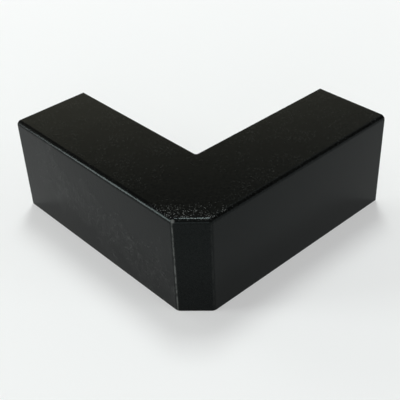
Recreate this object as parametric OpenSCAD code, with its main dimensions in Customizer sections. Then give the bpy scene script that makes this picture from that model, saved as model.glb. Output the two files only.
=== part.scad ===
// External corner for trunking: a moulded cover that takes a run of trunking
// round the outside corner of a wall. A flat L-shaped top stands on two front
// walls, with a chamfered nose between them, all in one wall thickness.
// The wall side, the underside and both ends are open.
// The origin is the foot of the wall's corner. The legs run along +X and +Y,
// the cover stands out towards -X and -Y, and +Z is up. Sizes are in millimetres.

/* [Trunking] */
// Depth of the trunking, out from the wall
trunking_depth = 40; // [25:1:100]
// Height of the trunking
trunking_height = 50; // [25:1:100]
// Gap between the trunking and the cover
fit_gap = 0.2; // [0:0.05:1]

/* [Cover] */
// Thickness of the top and of the front walls
wall = 2; // [1.2:0.1:4]
// Length of each leg along its wall, from the wall's corner to the open end
leg_length = 90; // [40:1:200]
// Set-back of the nose's chamfer along each front face
chamfer = 12; // [8:0.5:24]

/* [Edges] */
// Radius of the edge between the top and the fronts
top_edge_r = 2.4; // [0.4:0.1:5]
// Radius of the two upright edges of the nose
upright_edge_r = 3.2; // [0.4:0.1:6]
// Radius in the top's inside corner, at the wall's corner
inside_corner_r = 1.5; // [0.5:0.1:6]

/* [Hidden] */
// Outside size of the cover's section, and of each leg from the outer corner
cover_depth = trunking_depth + fit_gap + wall;
cover_height = trunking_height + fit_gap + wall;
reach = cover_depth + leg_length;
// The top edge follows the upright edges round, so it is no rounder than they are
edge_r = min(top_edge_r, upright_edge_r);
// The inside follows the outside at one wall thickness
inner_height = cover_height - wall;
inner_chamfer = chamfer - wall * (2 - sqrt(2));
inner_edge_r = max(edge_r - wall, 0);
inner_upright_r = max(upright_edge_r - wall, 0);
// Angle between a leg and the nose
turn = 45;
// How far a cut runs past the face that it opens
margin = 1;
// How far a rounding post stands proud of the faces it blends, so that it crosses them cleanly
proud = 0.002;
cover_colour = "#202123";
$fn = 96;

// What a square corner at the origin loses where it is rounded
module corner_cut(r) {
    if (r > 0)
        difference() {
            square(r);
            translate([r, r])
                circle(r);
        }
}

// Rectangle with its corner at the origin rounded
module round_corner(width, height, r) {
    difference() {
        square([width, height]);
        corner_cut(r);
    }
}

// Wide block below z = 0 and behind y = 0, with its top front edge rounded
module front(height, top_r) {
    rotate([-90, 0, 90])
        linear_extrude(4 * reach, center = true)
            round_corner(2 * reach, height + margin, top_r);
}

// Round post on the z axis, below z = 0, with a rounded top edge
module post(height, top_r, upright_r) {
    post_r = upright_r + proud;
    rotate_extrude()
        difference() {
            translate([0, -height - 2 * margin])
                square([post_r, height + 2 * margin + proud]);
            translate([post_r, proud])
                rotate(180)
                    corner_cut(top_r);
        }
}

// What one upright edge of the nose loses where it is rounded, with the post's axis at x = y = 0
module upright_cut(height, top_r, upright_r) {
    reach_out = 2 * upright_r;
    difference() {
        translate([0, 0, -height - margin])
            linear_extrude(height + 2 * margin)
                polygon([[0, 0], [0, -reach_out], [-reach_out, -reach_out]]);
        post(height, top_r, upright_r);
    }
}

// The two fronts and the nose as one solid, open-ended, with its outer corner at the origin
module rounded_nose(height, setback, top_r, upright_r) {
    leg_start = setback + upright_r * tan(turn / 2);
    translate([0, 0, height])
        difference() {
            intersection() {
                front(height, top_r);
                mirror([1, -1, 0])
                    front(height, top_r);
                translate([setback, 0, 0])
                    rotate([0, 0, -turn])
                        front(height, top_r);
            }
            if (upright_r > 0)
                for (side = [0, 1])
                    mirror([side, -side, 0])
                        translate([leg_start, upright_r, 0])
                            upright_cut(height, top_r, upright_r);
        }
}

// L-shaped outline of the cover, seen from above
module plan() {
    difference() {
        square(reach);
        translate([cover_depth, cover_depth])
            round_corner(reach, reach, inside_corner_r);
    }
}

module corner_cover() {
    color(cover_colour)
        translate([-cover_depth, -cover_depth, 0])
            difference() {
                intersection() {
                    rounded_nose(cover_height, chamfer, edge_r, upright_edge_r);
                    linear_extrude(cover_height + margin)
                        plan();
                }
                translate([wall, wall, 0])
                    rounded_nose(inner_height, inner_chamfer, inner_edge_r, inner_upright_r);
            }
}

corner_cover();
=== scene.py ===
"""Looks of the trunking external corner: one moulded black cover on a pale floor."""

import math

import bmesh
import bpy
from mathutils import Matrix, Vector


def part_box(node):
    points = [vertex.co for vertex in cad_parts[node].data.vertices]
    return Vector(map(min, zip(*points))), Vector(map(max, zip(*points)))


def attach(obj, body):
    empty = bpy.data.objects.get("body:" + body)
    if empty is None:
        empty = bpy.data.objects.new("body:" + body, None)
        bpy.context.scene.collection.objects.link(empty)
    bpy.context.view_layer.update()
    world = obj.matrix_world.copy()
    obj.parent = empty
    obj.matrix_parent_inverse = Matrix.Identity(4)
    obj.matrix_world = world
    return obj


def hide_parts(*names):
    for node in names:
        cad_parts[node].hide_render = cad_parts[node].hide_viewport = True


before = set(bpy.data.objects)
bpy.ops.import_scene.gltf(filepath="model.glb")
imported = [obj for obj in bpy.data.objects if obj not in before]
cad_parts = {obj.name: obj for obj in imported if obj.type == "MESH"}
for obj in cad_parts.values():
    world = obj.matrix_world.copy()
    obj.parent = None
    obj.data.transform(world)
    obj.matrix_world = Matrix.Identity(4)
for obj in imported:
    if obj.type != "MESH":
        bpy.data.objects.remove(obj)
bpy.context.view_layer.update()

MM = 0.001

# Sizes of the cover, as in the part's source
lowest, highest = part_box("corner_cover")
COVER_DEPTH = -lowest.x
COVER_HEIGHT = highest.z
LEG_LENGTH = highest.x
WALL = 2 * MM
CHAMFER = 12 * MM
TOP_EDGE_R = 2.4 * MM
UPRIGHT_EDGE_R = 3.2 * MM
INSIDE_CORNER_R = 1.5 * MM
NOSE_TURN = math.radians(45)
# X + Y is this all over the nose
NOSE_LINE = CHAMFER - 2 * COVER_DEPTH

# How the mesh is made
OUTER_STEPS = 10
INSIDE_CORNER_STEPS = 8
EDGE_BREAK = 0.15 * MM
EDGE_BREAK_STEPS = 2
BROKEN_FROM = math.radians(60)
SMOOTH_BELOW = math.radians(35)
NORMAL_WEIGHT = 50
TOUCH = 0.01 * MM
# How far a face points one way when it counts as square to it, or as slanted to it
SQUARE_ON = 0.9
SLANTED = 0.1

# Tones of the plastic and of its pale marks, which are painted glints, painted sheen and painted
# highlights with some dust and wear, and how it mirrors
DARK_TONE = (0.0022, 0.0023, 0.0022, 1)
LIGHT_TONE = (0.0045, 0.0047, 0.0045, 1)
PAINTED_HIGHLIGHT_AND_WEAR_TONE = (0.11, 0.114, 0.11, 1)
MIRROR_LEVEL = 0.097
MIRROR_TINT = (0.82, 1.0, 1.0, 1)

# How many of each mark come in a metre
MOTTLES = 900.0
SPECKS = 1500.0
SHEEN_FLECKS = 1000.0
PEBBLES = 1300.0
WAVES = 480.0
PATCHES = 420.0
DRIFTS = 75.0

# How a noise becomes a gloss, odds or a strength: start and end in the noise, and the value at each
MOTTLE_TONES = ((0.36, DARK_TONE), (0.64, LIGHT_TONE))
MOTTLE_GLOSS = (0.25, 0.75, 0.15, 0.2)
PALENESS = (0, 1, 0.25, 1.1)
THICK_SPECKS = (0.35, 0.6, 0.35, 0.9)
THIN_SPECKS = (0.42, 0.62, 0.03, 0.4)
SHEEN_BLOTCHES = (0.45, 0.65, 0, 0.35)
BROKEN_EDGE_HIGHLIGHT = (0.35, 0.6, 0.3, 1)
WAVE_PATCHES = (0.4, 0.6, 0.03, 0.3)

# Relief of the grain
PEBBLE_RELIEF = 0.04 * MM
PEBBLE_SOFTNESS = 0.6
FLOW_RELIEF = 0.09 * MM
WAVES_DRAWN_OUT = (1, 0.4, 1)

# A face's marks are full down to the first depth below it and gone at the second
MARKS_FULL = 0.2 * MM
MARKS_GONE = 0.9 * MM

# The specks on the top, painted glints with some dust: thick behind the nose, nearly none in a
# clear spot
THICK_FROM = NOSE_LINE + 4 * MM
THICK_TO = NOSE_LINE + 24 * MM
THIN_STRENGTH = 0.15
SPECK_REACH = 0.5
CLEAR_SPOT = Vector((-17 * MM, -17 * MM, COVER_HEIGHT))
CLEAR_TO = 12 * MM
MARKED_FROM = 24 * MM
CLEAR_ODDS = 0.02

# Painted sheen on the left-hand front: a band of pale flecks, standing in for the mottled
# reflection there, that falls towards the nose and wanders
SHEEN_BAND_HEIGHT = 18 * MM
SHEEN_BAND_SLOPE = 0.25
SHEEN_BAND_WANDER = 60 * MM
SHEEN_BAND_CORE = 3 * MM
SHEEN_BAND_RIM = 18 * MM
SHEEN_BAND_TAPERS = 60 * MM
SHEEN_BAND_ENDS = 84 * MM
SHEEN_FLECK_STRENGTH = 0.2
SHEEN_FLECK_ODDS = 0.55
SHEEN_FLECK_REACH = 0.55

# Painted highlights with some wear on the edges of the nose, strong on the left-hand upright edge
# and its top corner: where, how strong, and how far out the mark is full and gone
HIGHLIT_WORN_EDGE = Vector((0.24 * MM - COVER_DEPTH, CHAMFER + 0.1 * MM - COVER_DEPTH, 0))
HIGHLIT_WORN_CORNER = HIGHLIT_WORN_EDGE + Vector((0.4 * MM, 0, COVER_HEIGHT - 0.7 * MM))
LEFT_EDGE_HIGHLIGHT_AND_WEAR = 0.74
RIGHT_EDGE_HIGHLIGHT_AND_WEAR = 0.06
EDGE_HIGHLIGHT_FADE = (0.15 * MM, 0.6 * MM)
CORNER_HIGHLIGHT_FADE = (0.4 * MM, 1.4 * MM)

# The floor: whiter to the eye with distance, so that it ends in white
FLOOR_SIZE = 40
FLOOR_DROP = 0.05 * MM
FLOOR_TONE = (0.81, 0.81, 0.81, 1)
WHITER_FROM = 0.15
WHITE_AT = 0.9
LEAST_WHITE = 0.35

# The lamps
LAMPS_AIM = Vector((0.01, 0.01, 0.03))
LAMPS_AWAY = 2.4
LAMP_COLOUR = (0.95, 1.0, 0.99)

# The room: its brightness in steps of height, and what stands round it
WHITE = (1, 1, 1, 1)
NEARLY_BLACK = (0.01, 0.01, 0.01, 1)
OVERHEAD_GLOW = (0.35, 0.35, 0.35, 1)
HEIGHT_STEPS = ((0.22, WHITE), (0.36, NEARLY_BLACK), (0.82, NEARLY_BLACK), (0.93, OVERHEAD_GLOW))
DIM_TONE = (0.3, 0.3, 0.3, 1)
DIM_SIDE = Vector((-0.985, -0.174, 0))
DIM_EDGE = (-0.1, 0.5)
WALL_TONE = (0.71, 0.685, 0.53, 1)
WALL_SIDE = Vector((0.259, 0.966, 0))
WALL_EDGE = (0.45, 0.85)
WALL_FOOT = (math.sin(math.radians(14)), math.sin(math.radians(20)))
WALL_HEAD = (math.sin(math.radians(28.5)), math.sin(math.radians(36)))
PATCH_TONE = (0.42, 0.42, 0.4, 1)
PATCH_SIDE = Vector((0.664, 0.242, 0.707))
PATCH_EDGE = (0.94, 0.985)

# The camera, solved from the edges in the photograph
LENS = 71.48
SENSOR = 36
NEAREST = 0.01
CAMERA_PLACE = (-0.20806, -0.23812, 0.25509)
CAMERA_TURN = (54.008, 2.208, -42.905)


# Picking and shaping

def work_on(piece):
    bpy.ops.object.select_all(action="DESELECT")
    bpy.context.view_layer.objects.active = piece
    piece.select_set(True)


def pick_faces(piece, wanted):
    bpy.ops.mesh.select_mode(type="FACE")
    bpy.ops.mesh.select_all(action="DESELECT")
    mesh = bmesh.from_edit_mesh(piece.data)
    for face in mesh.faces:
        if wanted(face.calc_center_median(), face.normal):
            face.select_set(True)
    bmesh.update_edit_mesh(piece.data)


def pick_edges(piece, wanted):
    bpy.ops.mesh.select_mode(type="EDGE")
    bpy.ops.mesh.select_all(action="DESELECT")
    mesh = bmesh.from_edit_mesh(piece.data)
    for edge in mesh.edges:
        middle = (edge.verts[0].co + edge.verts[1].co) / 2
        run = edge.verts[1].co - edge.verts[0].co
        if wanted(middle, run, [face.normal for face in edge.link_faces]):
            edge.select_set(True)
    bmesh.update_edit_mesh(piece.data)


def extrude_picked(along):
    bpy.ops.mesh.extrude_region_move(TRANSFORM_OT_translate={"value": along})


def bevel_picked(offset, steps):
    bpy.ops.mesh.bevel(
        offset=offset,
        offset_type="OFFSET",
        segments=steps,
        profile=0.5,
        affect="EDGES",
        clamp_overlap=False,
    )


def apply_modifier(piece, kind, **settings):
    work_on(piece)
    bpy.ops.object.modifier_add(type=kind)
    modifier = piece.modifiers[-1]
    for name, value in settings.items():
        setattr(modifier, name, value)
    bpy.ops.object.modifier_apply(modifier=modifier.name)


def upright(run):
    return abs(run.z) > SQUARE_ON * run.length


# The cover

def make_cover():
    bpy.ops.object.select_all(action="DESELECT")
    bpy.ops.mesh.primitive_cube_add(
        size=1,
        location=(-COVER_DEPTH / 2, -COVER_DEPTH / 2, COVER_HEIGHT / 2),
        scale=(COVER_DEPTH, COVER_DEPTH, COVER_HEIGHT),
    )
    cover = bpy.context.object
    cover.name = "cover"
    cover.data.name = "cover"
    bpy.ops.object.transform_apply(location=True, rotation=True, scale=True)
    bpy.ops.object.mode_set(mode="EDIT")

    # The two legs grow out of the corner block
    pick_faces(cover, lambda middle, normal: normal.x > SQUARE_ON)
    extrude_picked((LEG_LENGTH, 0, 0))
    pick_faces(cover, lambda middle, normal: normal.y > SQUARE_ON and middle.x < 0)
    extrude_picked((0, LEG_LENGTH, 0))
    bpy.ops.mesh.select_all(action="SELECT")
    bpy.ops.mesh.remove_doubles(threshold=TOUCH)
    bpy.ops.mesh.normals_make_consistent(inside=False)

    # Chamfered nose, its rounded upright edges and the inside corner of the top
    pick_edges(cover, lambda middle, run, normals: upright(run)
               and max(middle.x, middle.y) < TOUCH - COVER_DEPTH)
    bevel_picked(CHAMFER, 1)
    pick_edges(cover, lambda middle, run, normals: upright(run)
               and middle.x + middle.y < NOSE_LINE + TOUCH)
    bevel_picked(UPRIGHT_EDGE_R * math.tan(NOSE_TURN / 2), OUTER_STEPS)
    pick_edges(cover, lambda middle, run, normals: upright(run)
               and max(abs(middle.x), abs(middle.y)) < TOUCH)
    bevel_picked(INSIDE_CORNER_R, INSIDE_CORNER_STEPS)

    # Rounded edge between the top and the fronts
    pick_edges(cover, lambda middle, run, normals: any(normal.z > SQUARE_ON for normal in normals)
               and any(min(normal.x, normal.y) < -SLANTED for normal in normals))
    bevel_picked(TOP_EDGE_R, OUTER_STEPS)

    # Underside, wall side and both ends are open
    pick_faces(cover, lambda middle, normal: normal.z < -SQUARE_ON
               or max(normal.x, normal.y) > SLANTED)
    bpy.ops.mesh.delete(type="FACE")
    bpy.ops.object.mode_set(mode="OBJECT")

    # One wall thickness, then the edges that the mould leaves square are barely broken
    apply_modifier(cover, "SOLIDIFY", thickness=WALL, offset=-1,
                   use_even_offset=True, use_quality_normals=True)
    apply_modifier(cover, "BEVEL", width=EDGE_BREAK, segments=EDGE_BREAK_STEPS,
                   limit_method="ANGLE", angle_limit=BROKEN_FROM)
    bpy.ops.object.shade_smooth_by_angle(angle=SMOOTH_BELOW)
    apply_modifier(cover, "WEIGHTED_NORMAL", weight=NORMAL_WEIGHT, keep_sharp=True)
    return cover


# Nodes that the finishes and the room share

def add(tree, kind, **settings):
    node = tree.nodes.new(kind)
    for name, value in settings.items():
        if name in node.inputs:
            node.inputs[name].default_value = value
        else:
            setattr(node, name, value)
    return node


def new_finish(name):
    finish = bpy.data.materials.new(name)
    finish.use_nodes = True
    finish.node_tree.nodes.clear()
    return finish, finish.node_tree


def reckon(tree, operation, *values):
    node = add(tree, "ShaderNodeMath", operation=operation)
    for socket, value in zip(node.inputs, values):
        if isinstance(value, (int, float)):
            socket.default_value = value
        else:
            tree.links.new(value, socket)
    return node.outputs["Value"]


def product(tree, first, *others):
    result = first
    for other in others:
        result = reckon(tree, "MULTIPLY", result, other)
    return result


def ease(tree, value, start, end, low, high):
    # Smoothly from low, up to start, to high, from end on
    node = add(tree, "ShaderNodeMapRange", interpolation_type="SMOOTHSTEP")
    tree.links.new(value, node.inputs["Value"])
    limits = {"From Min": start, "From Max": end, "To Min": low, "To Max": high}
    for name, limit in limits.items():
        node.inputs[name].default_value = limit
    return node.outputs["Result"]


def measure(tree, operation, vector, other):
    node = add(tree, "ShaderNodeVectorMath", operation=operation)
    tree.links.new(vector, node.inputs[0])
    node.inputs[1].default_value = other
    return node.outputs["Value"]


def three_ways(tree, vector):
    node = add(tree, "ShaderNodeSeparateXYZ")
    tree.links.new(vector, node.inputs["Vector"])
    return node.outputs


def ramp(tree, value, *steps):
    node = add(tree, "ShaderNodeValToRGB")
    elements = node.color_ramp.elements
    for number, (position, colour) in enumerate(steps):
        element = elements[number] if number < len(elements) else elements.new(position)
        element.position = position
        element.color = colour
    tree.links.new(value, node.inputs["Fac"])
    return node.outputs["Color"]


def tinted(tree, amount, under, colour, blend_type="MIX"):
    node = add(tree, "ShaderNodeMix", data_type="RGBA", blend_type=blend_type)
    node.inputs["B"].default_value = colour
    tree.links.new(amount, node.inputs["Factor"])
    tree.links.new(under, node.inputs["A"])
    return node.outputs["Result"]


def noise(tree, place, per_metre, detail, roughness=0.5):
    node = add(tree, "ShaderNodeTexNoise", Scale=per_metre, Detail=detail, Roughness=roughness)
    tree.links.new(place, node.inputs["Vector"])
    return node.outputs["Fac"]


# The finish of the cover

def specks(tree, place, per_metre, odds, reach):
    # One round spot in each cell that is drawn, some paler than others
    cells = add(tree, "ShaderNodeTexVoronoi", feature="F1", Scale=per_metre)
    tree.links.new(place, cells.inputs["Vector"])
    draw = add(tree, "ShaderNodeSeparateColor")
    tree.links.new(cells.outputs["Color"], draw.inputs["Color"])
    chosen = reckon(tree, "LESS_THAN", draw.outputs["Red"], odds)
    spot = ease(tree, cells.outputs["Distance"], reach / 2, reach, 1, 0)
    return product(tree, chosen, spot, ease(tree, draw.outputs["Green"], *PALENESS))


# Painted glints with some dust specks on the top, thick behind the nose and nearly none in the
# clear spot
def painted_top_glints_and_dust(tree, place, ways, on_top, from_clear, drift):
    behind_nose = reckon(tree, "ADD", ways["X"], ways["Y"])
    near_nose = product(tree, ease(tree, behind_nose, THICK_FROM, THICK_TO, 1, 0), on_top)
    thick = product(tree, near_nose, ease(tree, drift, *THICK_SPECKS))
    thin = product(tree, ease(tree, from_clear, CLEAR_TO, MARKED_FROM, CLEAR_ODDS, 1),
                   ease(tree, drift, *THIN_SPECKS), on_top)
    odds = reckon(tree, "MAXIMUM", thick, thin)
    strength = reckon(tree, "MAXIMUM", near_nose, THIN_STRENGTH)
    return product(tree, specks(tree, place, SPECKS, odds, SPECK_REACH), strength)


# Where the painted sheen lies: a wandering band on the left-hand front
def left_front_sheen_band(tree, ways, drift):
    on_front = ease(tree, ways["X"], MARKS_FULL - COVER_DEPTH, MARKS_GONE - COVER_DEPTH, 1, 0)
    level = reckon(tree, "MULTIPLY_ADD", ways["Y"], -SHEEN_BAND_SLOPE, ways["Z"])
    wander = reckon(tree, "MULTIPLY_ADD", drift, SHEEN_BAND_WANDER, -SHEEN_BAND_WANDER / 2)
    height = reckon(tree, "ADD", level, wander)
    off_middle = reckon(tree, "ABSOLUTE", reckon(tree, "SUBTRACT", height, SHEEN_BAND_HEIGHT))
    return product(tree, ease(tree, off_middle, SHEEN_BAND_CORE, SHEEN_BAND_RIM, 1, 0),
                   ease(tree, ways["Y"], SHEEN_BAND_TAPERS, SHEEN_BAND_ENDS, 1, 0), on_front)


# Painted sheen: pale flecks and blotches in the band on the left-hand front
def painted_sheen_flecks(tree, place, sheen_band, patches):
    sheen_flecks = specks(tree, place, SHEEN_FLECKS, product(tree, sheen_band, SHEEN_FLECK_ODDS), SHEEN_FLECK_REACH)
    sheen_blotches = product(tree, sheen_band, ease(tree, patches, *SHEEN_BLOTCHES))
    return product(tree, reckon(tree, "ADD", sheen_flecks, sheen_blotches), SHEEN_FLECK_STRENGTH)


# Painted highlight with some wear along the nose's upright edges and at the left-hand top corner
def nose_highlights_and_wear(tree, place, ways, patches):
    plan = add(tree, "ShaderNodeCombineXYZ")
    tree.links.new(ways["X"], plan.inputs["X"])
    tree.links.new(ways["Y"], plan.inputs["Y"])
    edges = []
    for edge, strength in ((HIGHLIT_WORN_EDGE, LEFT_EDGE_HIGHLIGHT_AND_WEAR), (HIGHLIT_WORN_EDGE.yxz, RIGHT_EDGE_HIGHLIGHT_AND_WEAR)):
        from_edge = measure(tree, "DISTANCE", plan.outputs["Vector"], edge)
        edges.append(ease(tree, from_edge, *EDGE_HIGHLIGHT_FADE, strength, 0))
    broken = product(tree, reckon(tree, "ADD", *edges), ease(tree, patches, *BROKEN_EDGE_HIGHLIGHT))
    from_corner = measure(tree, "DISTANCE", place, HIGHLIT_WORN_CORNER)
    return reckon(tree, "MAXIMUM", broken, ease(tree, from_corner, *CORNER_HIGHLIGHT_FADE, 1, 0))


def top_waves(tree, place, on_top, from_clear, drift):
    drawn_out = add(tree, "ShaderNodeMapping", Scale=WAVES_DRAWN_OUT)
    tree.links.new(place, drawn_out.inputs["Vector"])
    waves = noise(tree, drawn_out.outputs["Vector"], WAVES, 2.0)
    marked = product(tree, on_top, ease(tree, drift, *WAVE_PATCHES),
                     ease(tree, from_clear, CLEAR_TO, MARKED_FROM, 0, 1))
    return product(tree, waves, marked)


def relief(tree, height, depth):
    node = add(tree, "ShaderNodeBump", Strength=1.0, Distance=depth)
    tree.links.new(height, node.inputs["Height"])
    return node


def grained_black_plastic():
    finish, tree = new_finish("grained_black_plastic")
    link = tree.links.new
    out = add(tree, "ShaderNodeOutputMaterial")
    plastic = add(tree, "ShaderNodeBsdfPrincipled")
    plastic.inputs["Specular IOR Level"].default_value = MIRROR_LEVEL
    plastic.inputs["Specular Tint"].default_value = MIRROR_TINT
    link(plastic.outputs["BSDF"], out.inputs["Surface"])
    place = add(tree, "ShaderNodeTexCoord").outputs["Object"]
    ways = three_ways(tree, place)
    drift = noise(tree, place, DRIFTS, 2.0)
    patches = noise(tree, place, PATCHES, 3.0)
    on_top = ease(tree, ways["Z"], COVER_HEIGHT - MARKS_GONE, COVER_HEIGHT - MARKS_FULL, 0, 1)
    from_clear = measure(tree, "DISTANCE", place, CLEAR_SPOT)
    sheen_band = left_front_sheen_band(tree, ways, drift)

    # Mottle, about a millimetre across, in tone and gloss
    mottle = noise(tree, place, MOTTLES, 2.0, roughness=0.6)
    tone = ramp(tree, mottle, *MOTTLE_TONES)
    link(ease(tree, mottle, *MOTTLE_GLOSS), plastic.inputs["Roughness"])

    # Painted glints with some dust specks on the top, painted sheen flecks on the left-hand front
    # and painted highlights with some wear on the nose edges, all in a paler tone
    on_faces = reckon(tree, "MAXIMUM", painted_top_glints_and_dust(tree, place, ways, on_top, from_clear, drift),
                      painted_sheen_flecks(tree, place, sheen_band, patches))
    marks = reckon(tree, "MAXIMUM", on_faces, nose_highlights_and_wear(tree, place, ways, patches))
    link(tinted(tree, marks, tone, PAINTED_HIGHLIGHT_AND_WEAR_TONE), plastic.inputs["Base Color"])

    # Faint flow marks of the moulding: waves on the top and a rougher grain in the band of painted
    # sheen
    waves = top_waves(tree, place, on_top, from_clear, drift)
    flow = relief(tree, reckon(tree, "ADD", waves, product(tree, mottle, sheen_band)), FLOW_RELIEF)

    # Fine pebble grain of the mould, all over
    pebble = add(tree, "ShaderNodeTexVoronoi", feature="SMOOTH_F1", Scale=PEBBLES,
                 Smoothness=PEBBLE_SOFTNESS)
    link(place, pebble.inputs["Vector"])
    grain = relief(tree, pebble.outputs["Distance"], PEBBLE_RELIEF)
    link(flow.outputs["Normal"], grain.inputs["Normal"])
    link(grain.outputs["Normal"], plastic.inputs["Normal"])
    return finish


# The set

def pale_floor():
    finish, tree = new_finish("pale_floor")
    link = tree.links.new
    out = add(tree, "ShaderNodeOutputMaterial")
    paper = add(tree, "ShaderNodeBsdfDiffuse", Color=FLOOR_TONE)
    white = add(tree, "ShaderNodeEmission", Strength=1.0)
    rays = add(tree, "ShaderNodeLightPath")
    mirrored = reckon(tree, "MAXIMUM", rays.outputs["Is Glossy Ray"],
                      rays.outputs["Is Transmission Ray"])
    seen = reckon(tree, "MAXIMUM", rays.outputs["Is Camera Ray"], mirrored)
    place = add(tree, "ShaderNodeTexCoord").outputs["Object"]
    from_cover = add(tree, "ShaderNodeVectorMath", operation="LENGTH")
    link(place, from_cover.inputs[0])
    whiter = ease(tree, from_cover.outputs["Value"], WHITER_FROM, WHITE_AT, LEAST_WHITE, 1)
    lifted = add(tree, "ShaderNodeMixShader")
    link(product(tree, seen, whiter), lifted.inputs["Fac"])
    link(paper.outputs["BSDF"], lifted.inputs[1])
    link(white.outputs["Emission"], lifted.inputs[2])
    link(lifted.outputs["Shader"], out.inputs["Surface"])
    return finish


def make_floor():
    bpy.ops.object.select_all(action="DESELECT")
    bpy.ops.mesh.primitive_plane_add(size=FLOOR_SIZE, location=(0, 0, -FLOOR_DROP))
    floor = bpy.context.object
    floor.name = "floor"
    floor.data.materials.append(pale_floor())


def softbox(name, azimuth, elevation, size, power, mirrored=True):
    turn = math.radians(azimuth)
    tilt = math.radians(elevation)
    towards = Vector((
        math.cos(turn) * math.cos(tilt),
        math.sin(turn) * math.cos(tilt),
        math.sin(tilt),
    ))
    lamp = bpy.data.lights.new(name, "AREA")
    lamp.shape = "RECTANGLE"
    lamp.size, lamp.size_y = size
    lamp.energy = power
    lamp.color = LAMP_COLOUR
    holder = bpy.data.objects.new(name, lamp)
    bpy.context.scene.collection.objects.link(holder)
    holder.location = LAMPS_AIM + LAMPS_AWAY * towards
    holder.rotation_euler = towards.to_track_quat("Z", "Y").to_euler()
    holder.visible_camera = False
    holder.visible_glossy = mirrored


def make_lights():
    # Azimuth from +X towards +Y and elevation in degrees, size in metres, power in watts
    softbox("window_light", azimuth=140, elevation=16.5, size=(0.8, 0.9), power=28)
    softbox("ceiling_light", azimuth=45, elevation=67, size=(0.45, 0.85), power=29)
    softbox("front_light", azimuth=229, elevation=19, size=(1.2, 0.5), power=5)
    softbox("side_fill", azimuth=-68, elevation=20, size=(1.5, 1.1), power=18, mirrored=False)
    softbox("back_fill", azimuth=95, elevation=20, size=(1.5, 1.1), power=13, mirrored=False)


def make_room():
    world = bpy.data.worlds.new("room")
    bpy.context.scene.world = world
    world.use_nodes = True
    tree = world.node_tree
    tree.nodes.clear()
    out = add(tree, "ShaderNodeOutputWorld")
    glow = add(tree, "ShaderNodeBackground")
    tree.links.new(glow.outputs["Background"], out.inputs["Surface"])
    towards = add(tree, "ShaderNodeTexCoord").outputs["Generated"]
    height = three_ways(tree, towards)["Z"]

    # White at the horizon, dark above it, with a faint glow straight overhead
    shade = ramp(tree, height, *HEIGHT_STEPS)

    # The room to the camera's left is dim, not dark
    to_dim = measure(tree, "DOT_PRODUCT", towards, DIM_SIDE)
    shade = tinted(tree, ease(tree, to_dim, *DIM_EDGE, 0, 1), shade, DIM_TONE, "LIGHTEN")

    # A warm wall across from the camera, which the top mirrors
    above_foot = ease(tree, height, *WALL_FOOT, 0, 1)
    below_head = ease(tree, height, *WALL_HEAD, 1, 0)
    to_wall = measure(tree, "DOT_PRODUCT", towards, WALL_SIDE)
    wall = product(tree, above_foot, below_head, ease(tree, to_wall, *WALL_EDGE, 0, 1))
    shade = tinted(tree, wall, shade, WALL_TONE)

    # A dim patch above it, which the right-hand top edge mirrors
    to_patch = measure(tree, "DOT_PRODUCT", towards, PATCH_SIDE)
    shade = tinted(tree, ease(tree, to_patch, *PATCH_EDGE, 0, 1), shade, PATCH_TONE)
    tree.links.new(shade, glow.inputs["Color"])


def make_camera():
    lens = bpy.data.cameras.new("camera")
    lens.lens = LENS
    lens.sensor_width = SENSOR
    lens.clip_start = NEAREST
    camera = bpy.data.objects.new("camera", lens)
    camera.location = CAMERA_PLACE
    camera.rotation_euler = [math.radians(angle) for angle in CAMERA_TURN]
    bpy.context.scene.collection.objects.link(camera)
    bpy.context.scene.camera = camera


cover = make_cover()
cover.data.materials.append(grained_black_plastic())
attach(cover, "root")
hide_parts("corner_cover")

make_floor()
make_lights()
make_room()
make_camera()
bpy.context.scene.view_settings.view_transform = "Standard"
